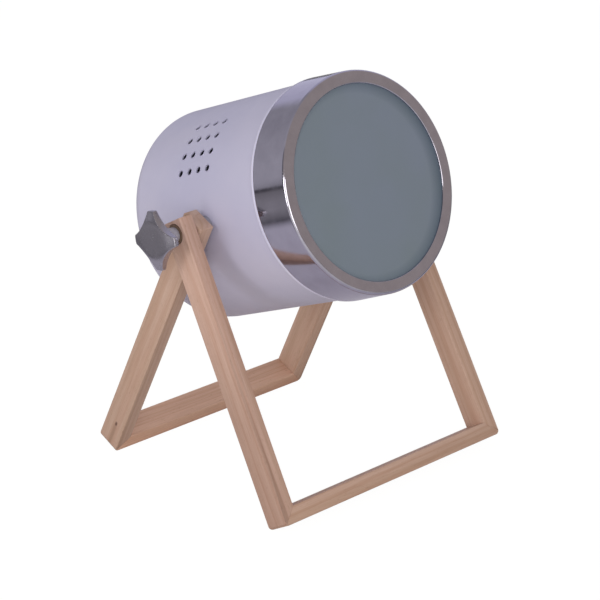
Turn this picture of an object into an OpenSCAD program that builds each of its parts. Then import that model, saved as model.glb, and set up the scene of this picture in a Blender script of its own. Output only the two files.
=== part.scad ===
// Tabletop searchlight lamp: a drum head with a bright bezel and frosted glass,
// clamped by two star knobs between two folding wooden frames.
// The floor is z = 0, the pivot axis runs along X and the head looks towards -Y.

/* [Drum] */
// Outer radius of the drum
drum_r = 79; // [70:0.5:84]
// Length of the drum behind the pivot axis
drum_back = 86.6; // [80:0.2:96]
// Length of the drum before the pivot axis, up to its rolled bead
drum_front = 60; // [54:0.5:66]
// Thickness of the drum's sheet
drum_wall = 1; // [0.8:0.1:1.4]
// Radius of the drum's rear corner
drum_corner_r = 10; // [6:0.5:16]
// Radius of the rolled bead at the drum's front edge
bead_r = 0.9; // [0.6:0.1:1.4]
// Length of the drawn-in neck that carries the bezel
neck_len = 11; // [9:0.5:15]
// How far the neck is drawn in from the drum's side
neck_step = 1.15; // [1:0.05:2]
// How far the head looks up in the stand
head_tilt = 20; // [10:1:30]

/* [Vents] */
// Radius of one vent hole
vent_r = 2.4; // [1.5:0.1:3.5]
// Vent holes in one row along the drum
vent_columns = 4; // [2:1:5]
// Rows of vent holes round the drum
vent_rows = 4; // [2:1:5]
// Distance between vent holes along the drum
vent_pitch_along = 10.2; // [8:0.2:12]
// Distance between vent holes round the drum
vent_pitch_round = 13.2; // [9:0.2:14]
// How far the middle of the vents lies behind the pivot axis
vent_back = 10; // [6:0.5:14]
// Height angle of the middle of the vents above the pivot axis
vent_angle = 43.7; // [40:0.1:50]

/* [Bezel and glass] */
// Length of the bezel's band
bezel_len = 32.5; // [28:0.5:38]
// Thickness of the bezel's sheet
bezel_wall = 0.9; // [0.6:0.1:1.1]
// Width of the bezel's flat front ring
bezel_lip = 9.7; // [7:0.1:15]
// Radius of the bezel's front corner
bezel_corner_r = 1.6; // [1.2:0.1:2.4]
// Thickness of the frosted glass
glass_t = 4; // [3:0.5:6]
// Thickness of the rubber ring between bezel and glass
gasket_t = 0.8; // [0.5:0.1:1.5]
// Radius of the spring wire that holds the glass
wire_r = 0.9; // [0.7:0.1:1.3]

/* [Stand] */
// Length of a frame from the pivot axis to its foot
leg_len = 218.5; // [200:0.5:240]
// Angle of each frame from the vertical
leg_lean = 27.7; // [20:0.1:34]
// Width of the wooden bars along the pivot axis
bar_w = 12; // [10:0.5:14]
// Depth of the wooden bars across the frame
bar_t = 20; // [18:0.5:24]
// How far the front legs run on above the pivot axis
front_leg_top = 9.6; // [8.6:0.2:14]
// How far the rear legs run on above the pivot axis
rear_leg_top = 7.8; // [7.6:0.2:14]
// How much wider the front frame is at its foot than at the pivot, on each side
front_splay = 4.1; // [3.5:0.1:8]
// How much wider the rear frame is at its foot than at the pivot, on each side
rear_splay = 3.2; // [0:0.1:3.2]
// Radius of the eased edges of the bars
edge_r = 1; // [0.5:0.1:1.4]
// Depth of the flat that the feet stand on
floor_flat = 0.8; // [0.6:0.1:1.2]
// Radius of a hidden dowel in the mitred corners
dowel_r = 2; // [1.5:0.1:2.2]
// Length of a hidden dowel
dowel_len = 10; // [7:0.5:10.5]

/* [Pivot] */
// Space between the bezel's side and the rear legs at the pivot
side_gap = 3.2; // [2.5:0.1:6]
// Space between the front and rear legs at the pivot
leg_gap = 1; // [0.8:0.1:1.6]
// Thickness of the fibre washer between the legs
leg_washer_t = 0.5; // [0.3:0.1:0.6]
// Radius of the washers in the pivot
washer_r = 7; // [6:0.5:7.5]
// Depth of the recess for a knob's washer in the front legs
recess_depth = 1.6; // [1:0.2:2.4]
// Radius of the clamping studs
stud_r = 3; // [2.5:0.1:3.5]
// Play between a stud and the pieces that turn round it
stud_fit = 0.08; // [0.05:0.01:0.1]

/* [Knobs] */
// Radius over the lobes of a knob
knob_r = 21.5; // [20:0.1:26]
// Radius at the waists between the lobes
knob_waist_r = 14.4; // [12:0.2:16]
// Width of a lobe at its end
lobe_end_w = 6.5; // [5.5:0.5:9]
// Length of a knob from its hub to its face
knob_len = 21; // [19:0.2:24]
// Radius of a knob's hub at its foot
hub_r = 5.2; // [4.8:0.1:6.5]
// Thickness of a lobe at its end
lobe_end_t = 4; // [3:0.2:5]
// How far the knob's face falls away towards the ends of the lobes
face_drop = 1.4; // [1:0.2:4]
// Radius of the flat middle of the knob's face, as a share of the knob's radius
flat_share = 0.67; // [0.5:0.01:0.8]
// Turn of the star on its stud
knob_turn = -10; // [-45:1:45]
// Thickness of the fibre washer under a knob
knob_washer_t = 1.5; // [1:0.1:2.5]

/* [Hidden] */

// Every cut runs past the faces that it opens by this much
cut = 1;
// Pieces of the head that are fixed to each other are this far apart
seat = 0.05;
// Pieces that turn past each other are this far apart
clear = 0.3;
// Space at each end of a dowel
dowel_end = 0.3;
$fn = 96;

// Stations along the axis of the head, from the pivot axis
bezel_front = drum_front + bezel_len;
gasket_z = bezel_front - bezel_wall - gasket_t;
glass_z = gasket_z - glass_t;
wire_z = glass_z - wire_r;
plate_z = -drum_back + drum_wall;

// Radii of the nested rings at the front
neck_r = drum_r - neck_step;
band_t = 1.2;
bezel_inner_r = neck_r + seat + band_t;
bezel_r = bezel_inner_r + bezel_wall;
bezel_hole_r = bezel_r - bezel_lip;
band_len = 6;
band_back = 1;
glass_r = bezel_inner_r - clear;
gasket_r = glass_r - clear;
gasket_inner_r = bezel_hole_r + clear;
wire_ring_r = bezel_inner_r - wire_r - seat;
wire_opening = 12;

// Half widths of the two frames at the pivot axis
rear_inner_w = bezel_r + side_gap;
rear_outer_w = rear_inner_w + bar_w;
front_inner_w = rear_outer_w + leg_gap;
front_outer_w = front_inner_w + bar_w;
knob_base = front_outer_w - recess_depth + clear + knob_washer_t + clear;

// Place of the pivot axis: the feet stand on z = 0 and the whole lamp is centred on y = 0
pivot_h = leg_len * cos(leg_lean) + bar_t / 2 * sin(leg_lean) - floor_flat;
eased = edge_r * (cos(leg_lean) + sin(leg_lean) - 1);
foot_reach = leg_len * sin(leg_lean) + bar_t / 2 * cos(leg_lean) - eased;
corner_z = bezel_front - bezel_corner_r;
corner_x = bezel_r - bezel_corner_r;
head_reach = corner_z * cos(head_tilt) + corner_x * sin(head_tilt) + bezel_corner_r;
front_reach = max(foot_reach, head_reach);
pivot_y = (front_reach - foot_reach) / 2;

// Pieces of the pivot
insert_r = 8;
insert_len = 14;
insert_neck_r = 4.9;
insert_neck_len = 2.4;
spacer_r = 6.5;
stud_inner = drum_r - drum_wall - insert_len - stud_r;
stud_in_knob = 12;
stud_outer = knob_base + stud_in_knob;
washer_play = 0.6;
recess_r = washer_r + washer_play;
hub_len = 8.5;
hub_flare = 1.6;
web_r = 11;
web_rise = 1.2;
lobe_count = 4;

// Pieces inside the drum
bracket_w = 22;
bracket_t = 1.5;
bracket_rise = 16;
bracket_half = 24;
bracket_foot = 36;
bracket_hole_x = 30;
screw_r = 2;
screw_head_r = 3.6;
screw_head_h = 2.2;
screw_tail = 4;
nipple_r = 5;
nipple_bore_r = 3.5;
nipple_in_holder = 7.4;
nut_h = 4;
nut_r = 8.6;
nut_sides = 6;
nipple_below = nut_h + drum_wall;
holder_base_t = 9;
holder_z = plate_z + bracket_rise;
holder_r = 19.5;
holder_mouth_r = 17;
holder_mouth_len = 12;
shell_r = 13.9;
shell_t = 0.4;
shell_z = holder_z + holder_base_t;
contact_r = 4;
contact_t = 0.6;
contact_rise = 3;
contact_post_r = 1.6;

// Bulb of the common large screw size
cap_r = 13.2;
cap_t = 0.5;
cap_tip_r = 4.6;
cap_tip_h = 3.5;
cap_len = 25;
cap_z = shell_z + contact_rise + contact_t + seat;
holder_over_cap = 8.35;
holder_len = cap_z + cap_len + holder_over_cap - holder_z;
shell_len = holder_len - holder_base_t - holder_mouth_len;
globe_r = 30;
globe_neck_r = cap_r - cap_t - clear;
globe_neck_len = 45;
globe_t = 1;
globe_in_cap = 3;
globe_z = cap_z + cap_len - globe_in_cap;
globe_steps = 14;

// Cord gland and terminals
gland_edge = 35;
gland_drop = drum_r - gland_edge;
gland_bore_r = 3.2;
gland_body_r = 5.8;
gland_flange_r = 9;
gland_flange_t = 2;
gland_nose_r = 5.4;
gland_nose_len = 9;
gland_inside = 9;
gland_nut_h = 4.5;
gland_nut_r = 9;
block_gap = 4;
block_edge = 37;
block_w = 25;
block_x = gland_nut_r + block_gap + block_w / 2;
block_y = block_edge - drum_r;
block_d = 18;
block_h = 13;
block_pitch = 12;
block_bore_r = 2;
block_bore_h = 6.5;
block_spigot_r = 2;
block_spigot_out = 1.2;
terminal_r = 1.9;
terminal_h = 4.5;
lead_r = 1.1;
lead_sides = 8;
lead_rings = 8;

// Routes of the two leads from the terminals to the lampholder, above the rear plate
lead_end = bracket_rise + holder_base_t - contact_t;
lead_apart = 3.4;
lead_swing = 3;
lead_past_bracket = 13.5;
lead_start_y = block_y + block_d / 2;
lead_turn_y = (lead_start_y - lead_past_bracket) / 2;
lead_a_x = block_x - block_pitch / 2;
lead_b_x = block_x + block_pitch / 2;
lead_a = [
    [lead_a_x, lead_start_y, block_bore_h], [lead_a_x - lead_swing, lead_turn_y, 5.4], [7, -12, 4],
    [-1, -4, 4.4], [-lead_apart / 2, 0, 9], [-lead_apart / 2, 0, lead_end]
];
lead_b = [
    [lead_b_x, lead_start_y, block_bore_h], [lead_b_x - lead_swing, lead_turn_y, 5.4], [18, -13, 4],
    [5, -2.5, 4.2], [lead_apart / 2, 0, 9], [lead_apart / 2, 0, lead_end]
];

// Puts a piece of the head at the pivot axis, with its own +Z towards the glass and +Y up
module in_head() {
    translate([0, pivot_y, pivot_h]) rotate([90 - head_tilt, 0, 0]) children();
}

// Puts a frame at the pivot axis; its foot leans forward for side = -1 and back for side = 1
module in_frame(side) {
    translate([0, pivot_y, pivot_h]) rotate([side * leg_lean, 0, 0]) children();
}

// Puts a piece on the pivot axis, with its own +Z outwards to the side
module on_pivot(side) {
    translate([0, pivot_y, pivot_h]) rotate([0, side * 90, 0]) children();
}

module tube(outer, inner, length) {
    difference() {
        cylinder(r = outer, h = length);
        translate([0, 0, -cut]) cylinder(r = inner, h = length + 2 * cut);
    }
}

// Half section of the drum, grown or shrunk by inset, up to the given front end
module drum_section(inset, front_z) {
    r = drum_r - inset;
    corner = drum_corner_r - inset;
    shoulder_z = drum_front - inset;
    rear_z = -drum_back + inset;
    translate([0, rear_z]) square([r - corner, front_z - rear_z]);
    translate([0, rear_z + corner]) square([r, shoulder_z - rear_z - corner]);
    intersection() {
        translate([r - corner, rear_z + corner]) circle(r = corner);
        translate([0, rear_z]) square([r, corner]);
    }
    square([neck_r - inset, front_z]);
}

module vent_holes(side) {
    step = vent_pitch_round / drum_r * 180 / PI;
    for (row = [0 : vent_rows - 1], column = [0 : vent_columns - 1]) {
        angle = vent_angle + (row - (vent_rows - 1) / 2) * step;
        z = -vent_back + (column - (vent_columns - 1) / 2) * vent_pitch_along;
        rotate([0, 0, 90 - side * (90 - angle)]) translate([neck_r / 2, 0, z])
            rotate([0, 90, 0]) cylinder(r = vent_r, h = drum_r, $fn = 32);
    }
}

// A hole through the drum's rear plate
module plate_hole(x, y, r) {
    translate([x, y, -drum_back - cut]) cylinder(r = r + seat, h = drum_wall + 2 * cut);
}

module drum_shell() {
    front_z = drum_front + neck_len;
    color("lavender") in_head() difference() {
        rotate_extrude($fn = 180) {
            difference() {
                drum_section(0, front_z);
                drum_section(drum_wall, front_z + cut);
            }
            translate([drum_r, drum_front - bead_r]) circle(r = bead_r, $fn = 24);
        }
        vent_holes(1);
        vent_holes(-1);
        for (side = [-1, 1]) {
            rotate([0, side * 90, 0]) translate([0, 0, neck_r / 2])
                cylinder(r = insert_neck_r + seat, h = drum_r);
            plate_hole(side * bracket_hole_x, 0, screw_r);
        }
        plate_hole(0, -gland_drop, gland_body_r);
        plate_hole(block_x, block_y, block_spigot_r);
    }
}

module bezel_ring() {
    color("silver") in_head() rotate_extrude($fn = 180) difference() {
        union() {
            translate([bezel_hole_r, drum_front]) square([corner_x - bezel_hole_r, bezel_len]);
            translate([bezel_hole_r, drum_front]) square([bezel_r - bezel_hole_r, corner_z - drum_front]);
            translate([corner_x, corner_z]) circle(r = bezel_corner_r, $fn = 48);
        }
        translate([0, drum_front - cut]) square([bezel_inner_r, bezel_len - bezel_wall + cut]);
    }
}

// Rubber band that grips the bezel on the drum's neck
module neck_band() {
    color("dimgray") in_head() translate([0, 0, drum_front + neck_len - band_len - band_back])
        tube(neck_r + band_t, neck_r + seat / 2, band_len, $fn = 180);
}

module lens_glass() {
    color("slategray") in_head() translate([0, 0, glass_z]) cylinder(r = glass_r, h = glass_t, $fn = 180);
}

module lens_gasket() {
    color("black") in_head() translate([0, 0, gasket_z]) tube(gasket_r, gasket_inner_r, gasket_t, $fn = 180);
}

// Split ring of spring wire behind the glass
module lens_wire() {
    color("gray") in_head() translate([0, 0, wire_z]) rotate([0, 0, -90 + wire_opening / 2])
        rotate_extrude(angle = 360 - wire_opening, $fn = 120)
            translate([wire_ring_r, 0]) circle(r = wire_r, $fn = 24);
}

// Threaded bush riveted into the drum's side, with its inner end flange against the sheet
module pivot_insert(side) {
    wall_r = drum_r - drum_wall;
    color("lightgray") difference() {
        union() {
            intersection() {
                on_pivot(side) translate([0, 0, wall_r - insert_len]) cylinder(r = insert_r, h = insert_len);
                in_head() translate([0, 0, -insert_r - cut])
                    cylinder(r = wall_r - seat, h = 2 * (insert_r + cut), $fn = 180);
            }
            on_pivot(side) translate([0, 0, wall_r - insert_len / 2])
                cylinder(r = insert_neck_r, h = insert_len / 2 + drum_wall + insert_neck_len);
        }
        on_pivot(side) translate([0, 0, stud_inner - cut]) cylinder(r = stud_r + stud_fit, h = drum_r);
    }
}

// Collar between the drum and the rear leg, hollowed to sit on the drum's side
module pivot_spacer(side) {
    color("black") difference() {
        on_pivot(side) translate([0, 0, drum_r - drum_wall]) difference() {
            cylinder(r = spacer_r, h = rear_inner_w - clear - drum_r + drum_wall);
            translate([0, 0, -cut])
                cylinder(r = insert_neck_r + seat, h = drum_wall + insert_neck_len + seat + cut);
            translate([0, 0, -cut]) cylinder(r = stud_r + stud_fit, h = rear_inner_w);
        }
        in_head() translate([0, 0, -spacer_r - cut])
            cylinder(r = drum_r + seat, h = 2 * (spacer_r + cut), $fn = 180);
    }
}

module holder_bracket() {
    color("silver") in_head() translate([0, -bracket_w / 2, plate_z]) difference() {
        union() {
            for (side = [0, 1]) mirror([side, 0, 0]) {
                translate([bracket_half, 0, 0]) cube([bracket_foot - bracket_half, bracket_w, bracket_t]);
                translate([bracket_half, 0, 0]) cube([bracket_t, bracket_w, bracket_rise]);
            }
            translate([-bracket_half, 0, bracket_rise - bracket_t])
                cube([2 * bracket_half, bracket_w, bracket_t]);
        }
        for (side = [-1, 1]) translate([side * bracket_hole_x, bracket_w / 2, -cut])
            cylinder(r = screw_r + seat, h = bracket_t + 2 * cut);
        translate([0, bracket_w / 2, bracket_rise - bracket_t - cut])
            cylinder(r = nipple_r + seat, h = bracket_t + 2 * cut);
    }
}

module bracket_screws() {
    color("silver") in_head() for (side = [-1, 1]) translate([side * bracket_hole_x, 0, -drum_back]) {
        cylinder(r = screw_r, h = drum_wall + bracket_t + screw_tail);
        translate([0, 0, -screw_head_h]) difference() {
            cylinder(r1 = screw_head_r - screw_head_h / 2, r2 = screw_head_r, h = screw_head_h);
            translate([-screw_head_r, -screw_r / 4, -cut])
                cube([2 * screw_head_r, screw_r / 2, cut + screw_head_h / 2]);
        }
    }
}

module holder_nipple() {
    color("goldenrod") in_head() translate([0, 0, holder_z - bracket_t - nipple_below])
        tube(nipple_r, nipple_bore_r, nipple_below + bracket_t + nipple_in_holder);
}

module nipple_nut() {
    color("goldenrod") in_head() translate([0, 0, holder_z - bracket_t - nut_h]) difference() {
        cylinder(r = nut_r, h = nut_h, $fn = nut_sides);
        translate([0, 0, -cut]) cylinder(r = nipple_r + seat, h = nut_h + 2 * cut);
    }
}

module lampholder() {
    color("ivory") in_head() translate([0, 0, holder_z]) difference() {
        cylinder(r = holder_r, h = holder_len);
        translate([0, 0, -cut]) cylinder(r = nipple_r + seat, h = nipple_in_holder + seat + cut);
        cylinder(r = nipple_bore_r, h = holder_base_t + cut);
        translate([0, 0, holder_base_t]) cylinder(r = shell_r + seat, h = holder_len);
        translate([0, 0, holder_len - holder_mouth_len]) cylinder(r = holder_mouth_r, h = holder_len);
    }
}

module lampholder_shell() {
    color("goldenrod") in_head() translate([0, 0, shell_z]) tube(shell_r, shell_r - shell_t, shell_len);
}

module lampholder_contact() {
    color("goldenrod") in_head() translate([0, 0, shell_z]) {
        translate([0, nipple_r + contact_post_r, 0])
            cylinder(r = contact_post_r, h = contact_rise + contact_t);
        translate([0, 0, contact_rise]) cylinder(r = contact_r, h = contact_t);
        translate([-contact_post_r, 0, contact_rise])
            cube([2 * contact_post_r, nipple_r + contact_post_r, contact_t]);
    }
}

module bulb_cap() {
    color("lightgray") in_head() translate([0, 0, cap_z]) difference() {
        union() {
            cylinder(r1 = cap_tip_r, r2 = cap_r, h = cap_tip_h);
            translate([0, 0, cap_tip_h]) cylinder(r = cap_r, h = cap_len - cap_tip_h);
        }
        translate([0, 0, cap_tip_h]) cylinder(r = cap_r - cap_t, h = cap_len);
    }
}

// Outline radius of the bulb's neck at height z, growing smoothly to the globe
function neck_radius(z, inset) =
    globe_neck_r - inset + (globe_r - globe_neck_r) * (1 - cos(180 * z / globe_neck_len)) / 2;

// Closed half outline of the bulb, made smaller by inset
function globe_outline(inset) = concat(
    [for (i = [0 : globe_steps]) let (z = globe_neck_len * i / globe_steps) [neck_radius(z, inset), z]],
    [for (i = [1 : globe_steps]) let (a = 90 * i / globe_steps)
        [(globe_r - inset) * cos(a), globe_neck_len + (globe_r - inset) * sin(a)]],
    [[0, 0]]
);

module bulb_globe() {
    color("white") in_head() translate([0, 0, globe_z]) rotate_extrude() difference() {
        polygon(globe_outline(0));
        translate([0, -cut]) square([globe_neck_r - globe_t, 2 * cut]);
        polygon(globe_outline(globe_t));
    }
}

module cord_gland() {
    below = gland_flange_t + gland_nose_len;
    color("gray") in_head() translate([0, -gland_drop, -drum_back]) difference() {
        union() {
            translate([0, 0, -below])
                cylinder(r1 = gland_nose_r, r2 = gland_body_r + drum_wall, h = gland_nose_len);
            translate([0, 0, -gland_flange_t]) cylinder(r = gland_flange_r, h = gland_flange_t);
            cylinder(r = gland_body_r, h = drum_wall + gland_inside);
        }
        translate([0, 0, -below - cut])
            cylinder(r = gland_bore_r, h = below + drum_wall + gland_inside + 2 * cut);
    }
}

module gland_nut() {
    color("gray") in_head() translate([0, -gland_drop, plate_z]) difference() {
        cylinder(r = gland_nut_r, h = gland_nut_h, $fn = nut_sides);
        translate([0, 0, -cut]) cylinder(r = gland_body_r + seat, h = gland_nut_h + 2 * cut);
    }
}

module terminal_block() {
    color("whitesmoke") in_head() translate([block_x, block_y, plate_z]) {
        difference() {
            translate([-block_w / 2, -block_d / 2, 0]) cube([block_w, block_d, block_h]);
            for (side = [-1, 1]) translate([side * block_pitch / 2, 0, 0]) {
                translate([0, -block_d, block_bore_h]) rotate([-90, 0, 0])
                    cylinder(r = block_bore_r, h = 2 * block_d);
                translate([0, 0, block_bore_h]) cylinder(r = terminal_r + seat, h = block_h);
            }
        }
        translate([0, 0, -drum_wall - block_spigot_out])
            cylinder(r = block_spigot_r, h = drum_wall + block_spigot_out);
    }
}

module terminal_screws() {
    slot_w = terminal_r / 3;
    color("goldenrod") in_head() for (side = [-1, 1])
        translate([block_x + side * block_pitch / 2, block_y, plate_z + block_h - terminal_h]) difference() {
            cylinder(r = terminal_r, h = terminal_h);
            translate([-terminal_r - cut, -slot_w / 2, terminal_h - slot_w])
                cube([2 * (terminal_r + cut), slot_w, slot_w + cut]);
        }
}

// Point at parameter t, from 0 to 1, between the second and third of four route points
function spline(a, b, c, d, t) =
    (2 * b + (c - a) * t + (2 * a - 5 * b + 4 * c - d) * t * t
        + (3 * b - a - 3 * c + d) * t * t * t) / 2;

// The whole smooth route through a list of points
function route(p) = concat(
    [for (i = [0 : len(p) - 2], k = [0 : lead_rings - 1])
        spline(p[max(i - 1, 0)], p[i], p[i + 1], p[min(i + 2, len(p) - 1)], k / lead_rings)],
    [p[len(p) - 1]]
);

function unit(v) = v / norm(v);

// A round tube with flat ends along a route that nowhere runs along its own +X
module sweep(path, r, sides) {
    last = len(path) - 1;
    rings = [for (i = [0 : last])
        let (ahead = unit(path[min(i + 1, last)] - path[max(i - 1, 0)]))
        let (u = unit(cross(ahead, [1, 0, 0])), v = cross(ahead, u))
        for (k = [0 : sides - 1]) let (a = 360 * k / sides) path[i] + r * (u * cos(a) + v * sin(a))];
    walls = [for (i = [0 : last - 1], k = [0 : sides - 1]) let (n = (k + 1) % sides)
        [i * sides + k, i * sides + n, (i + 1) * sides + n, (i + 1) * sides + k]];
    quads = [for (w = walls) each [[w[0], w[2], w[1]], [w[0], w[3], w[2]]]];
    near_end = [for (k = [0 : sides - 1]) k];
    far_end = [for (k = [0 : sides - 1]) last * sides + sides - 1 - k];
    polyhedron(points = rings, faces = concat([near_end], quads, [far_end]));
}

module holder_leads() {
    color("white") in_head() translate([0, 0, plate_z]) {
        sweep(route(lead_a), lead_r, lead_sides);
        sweep(route(lead_b), lead_r, lead_sides);
    }
}

// Lobed star: a disc with a large round bite between each pair of lobes
module star() {
    half_pitch = 180 / lobe_count;
    lobe_half = asin(lobe_end_w / 2 / knob_r);
    reach = half_pitch - lobe_half;
    spread = knob_r * cos(reach) - knob_waist_r;
    bite_far = (knob_r * knob_r - knob_waist_r * knob_waist_r) / (2 * spread);
    difference() {
        circle(r = knob_r);
        for (k = [0 : lobe_count - 1]) rotate(half_pitch * (2 * k + 1))
            translate([bite_far, 0]) circle(r = bite_far - knob_waist_r);
    }
}

// Turned body of a knob: flaring hub, thin disc, and a flat face that falls away towards the rim
module knob_body() {
    rim_z = knob_len - face_drop;
    flat_r = flat_share * knob_r;
    back_z = rim_z - lobe_end_t;
    rotate_extrude() polygon([
        [0, 0], [hub_r, 0], [hub_r + hub_flare, hub_len], [web_r, back_z - web_rise], [knob_r, back_z],
        [knob_r, rim_z], [flat_r, knob_len], [0, knob_len]
    ]);
}

module knob(side) {
    color("dimgray") on_pivot(side) translate([0, 0, knob_base]) difference() {
        intersection() {
            knob_body();
            rotate([0, 0, side * knob_turn]) linear_extrude(knob_len) star();
        }
        translate([0, 0, -cut]) cylinder(r = stud_r + seat / 2, h = stud_in_knob + seat + cut);
    }
}

module knob_stud(side) {
    color("silver") on_pivot(side) translate([0, 0, stud_inner])
        cylinder(r = stud_r, h = stud_outer - stud_inner);
}

module knob_washer(side) {
    color("saddlebrown") on_pivot(side) translate([0, 0, front_outer_w - recess_depth + clear])
        tube(washer_r, stud_r + stud_fit, knob_washer_t);
}

module leg_washer(side) {
    color("saddlebrown") on_pivot(side) translate([0, 0, rear_outer_w + (leg_gap - leg_washer_t) / 2])
        tube(washer_r - clear, stud_r + stud_fit, leg_washer_t);
}

// Straight bar with eased long edges, standing on its end, with one side at x = 0
module bar(w, t, length) {
    translate([w / 2, 0, 0]) linear_extrude(length) {
        square([w - 2 * edge_r, t], center = true);
        square([w, t - 2 * edge_r], center = true);
        for (x = [-1, 1], y = [-1, 1])
            translate([x * (w / 2 - edge_r), y * (t / 2 - edge_r)]) circle(r = edge_r, $fn = 24);
    }
}

// Lean of a leg in the plane of its frame
function lean_of(splay) = atan(splay / leg_len);
// Slope of the mitre between a leg and the crossbar
function mitre_of(splay) = (90 - lean_of(splay)) / 2;

// The outer corner of a frame, turned so that the mitre lies in the XY plane
module at_mitre(outer_w, splay) {
    translate([outer_w + splay, 0, -leg_len]) rotate([0, mitre_of(splay), 0]) children();
}

// Half space on one side of the mitre: above it for up = 0 and below it for up = 1
module past_mitre(outer_w, splay, up) {
    size = 4 * bar_t;
    at_mitre(outer_w, splay) mirror([0, 0, up]) translate([-size / 2, -size / 2, 0]) cube(size);
}

// Two dowels across the mitre, grown all round by play and at each end by more
module corner_dowels(outer_w, splay, play, more) {
    middle = bar_w / 2 / sin(mitre_of(splay));
    at_mitre(outer_w, splay) for (y = [-1, 1]) translate([-middle, y * bar_t / 4, -dowel_len / 2 - more])
        cylinder(r = dowel_r + play, h = dowel_len + 2 * more, $fn = 48);
}

// Everything below the floor, cut off so that the feet stand on flats
module under_floor() {
    size = 4 * leg_len;
    translate([-size / 2, -size / 2, -size]) cube(size);
}

// A leg on the right; lay is -1 for the front frame and 1 for the rear one
module leg(lay, side, outer_w, splay) {
    top = lay < 0 ? front_leg_top : rear_leg_top;
    difference() {
        in_frame(lay) mirror([(1 - side) / 2, 0, 0]) difference() {
            translate([outer_w + splay, 0, -leg_len]) rotate([0, -lean_of(splay), 0])
                translate([-bar_w, 0, -bar_t]) bar(bar_w, bar_t, leg_len + 2 * bar_t);
            translate([outer_w - 2 * bar_t, -bar_t, top]) cube(4 * bar_t);
            past_mitre(outer_w, splay, 1);
            corner_dowels(outer_w, splay, seat, dowel_end);
            rotate([0, 90, 0]) cylinder(r = stud_r + stud_fit, h = 2 * outer_w);
            translate([front_outer_w - recess_depth, 0, 0]) rotate([0, 90, 0])
                cylinder(r = recess_r, h = bar_w);
        }
        under_floor();
    }
}

module crossbar(lay, outer_w, splay) {
    half = outer_w + splay;
    difference() {
        in_frame(lay) difference() {
            translate([-half, 0, -leg_len + bar_w]) rotate([0, 90, 0]) bar(bar_w, bar_t, 2 * half);
            for (side = [0, 1]) mirror([side, 0, 0]) {
                past_mitre(outer_w, splay, 0);
                corner_dowels(outer_w, splay, seat, dowel_end);
            }
        }
        under_floor();
    }
}

module dowels(lay, outer_w, splay) {
    in_frame(lay) for (side = [0, 1]) mirror([side, 0, 0]) corner_dowels(outer_w, splay, 0, 0);
}

drum_shell();
bezel_ring();
neck_band();
lens_glass();
lens_gasket();
lens_wire();
pivot_insert(-1);  // pivot_insert_left
pivot_insert(1);  // pivot_insert_right
pivot_spacer(-1);  // pivot_spacer_left
pivot_spacer(1);  // pivot_spacer_right
holder_bracket();
bracket_screws();
holder_nipple();
nipple_nut();
lampholder();
lampholder_shell();
lampholder_contact();
bulb_cap();
bulb_globe();
cord_gland();
gland_nut();
terminal_block();
terminal_screws();
holder_leads();
knob(-1);  // knob_left
knob(1);  // knob_right
knob_stud(-1);  // knob_stud_left
knob_stud(1);  // knob_stud_right
knob_washer(-1);  // knob_washer_left
knob_washer(1);  // knob_washer_right
leg_washer(-1);  // leg_washer_left
leg_washer(1);  // leg_washer_right
color("tan") leg(-1, -1, front_outer_w, front_splay);  // front_leg_left
color("tan") leg(-1, 1, front_outer_w, front_splay);  // front_leg_right
color("tan") crossbar(-1, front_outer_w, front_splay);  // front_crossbar
color("wheat") dowels(-1, front_outer_w, front_splay);  // front_dowels
color("burlywood") leg(1, -1, rear_outer_w, rear_splay);  // rear_leg_left
color("burlywood") leg(1, 1, rear_outer_w, rear_splay);  // rear_leg_right
color("burlywood") crossbar(1, rear_outer_w, rear_splay);  // rear_crossbar
color("wheat") dowels(1, rear_outer_w, rear_splay);  // rear_dowels
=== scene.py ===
# %% [markdown]
# # A tabletop searchlight lamp
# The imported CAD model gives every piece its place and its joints. This file adds what the eye
# looks for: turned and moulded shapes with soft edges, procedural materials, light and a camera.

# %% Load the fixed frame
import bpy
import bmesh
import math
from mathutils import Matrix, Vector


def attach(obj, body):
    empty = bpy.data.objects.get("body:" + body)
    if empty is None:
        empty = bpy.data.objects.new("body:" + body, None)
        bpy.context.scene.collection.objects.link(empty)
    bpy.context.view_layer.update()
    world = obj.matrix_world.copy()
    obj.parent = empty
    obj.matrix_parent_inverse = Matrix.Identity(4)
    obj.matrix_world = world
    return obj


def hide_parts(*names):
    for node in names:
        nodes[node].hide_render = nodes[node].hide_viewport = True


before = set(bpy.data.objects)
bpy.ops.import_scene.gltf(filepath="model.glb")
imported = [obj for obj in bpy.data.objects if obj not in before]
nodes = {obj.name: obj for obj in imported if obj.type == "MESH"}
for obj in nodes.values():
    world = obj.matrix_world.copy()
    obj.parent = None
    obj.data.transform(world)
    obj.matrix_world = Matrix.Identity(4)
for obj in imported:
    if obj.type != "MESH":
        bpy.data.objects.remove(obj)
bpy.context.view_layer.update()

# %% [markdown]
# All sizes of the object are written in millimetres and turned to metres by one factor.
# The head has its own axes: its Z runs along the drum to the glass and its Y points up,
# tilted back by 20 degrees. One matrix puts a piece made on those axes in its place. The frames
# lean by the same angle to either side of the pivot.

# %% Units and the head's place
MM = 0.001
PIVOT = Vector((0, 1.88, 197.306)) * MM
HEAD_TILT = math.radians(20)
LEG_LEN, LEG_LEAN = 218.5, math.radians(27.7)
head_axes = Matrix.Translation(PIVOT) @ Matrix.Rotation(math.pi / 2 - HEAD_TILT, 4, "X")


def knob_axes(side):
    """Axes of a knob: Z runs outwards along the pivot, from the pivot's middle."""
    return Matrix.Translation(PIVOT) @ Matrix.Rotation(side * math.pi / 2, 4, "Y")


def direction(azimuth, elevation):
    """The way from the lamp to an eye or a light, from angles in radians; azimuth 0 is the front."""
    flat = math.cos(elevation)
    return Vector((math.sin(azimuth) * flat, -math.cos(azimuth) * flat, math.sin(elevation)))


print("head looks along", tuple(round(v, 3) for v in head_axes.to_3x3() @ Vector((0, 0, 1))))

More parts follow.
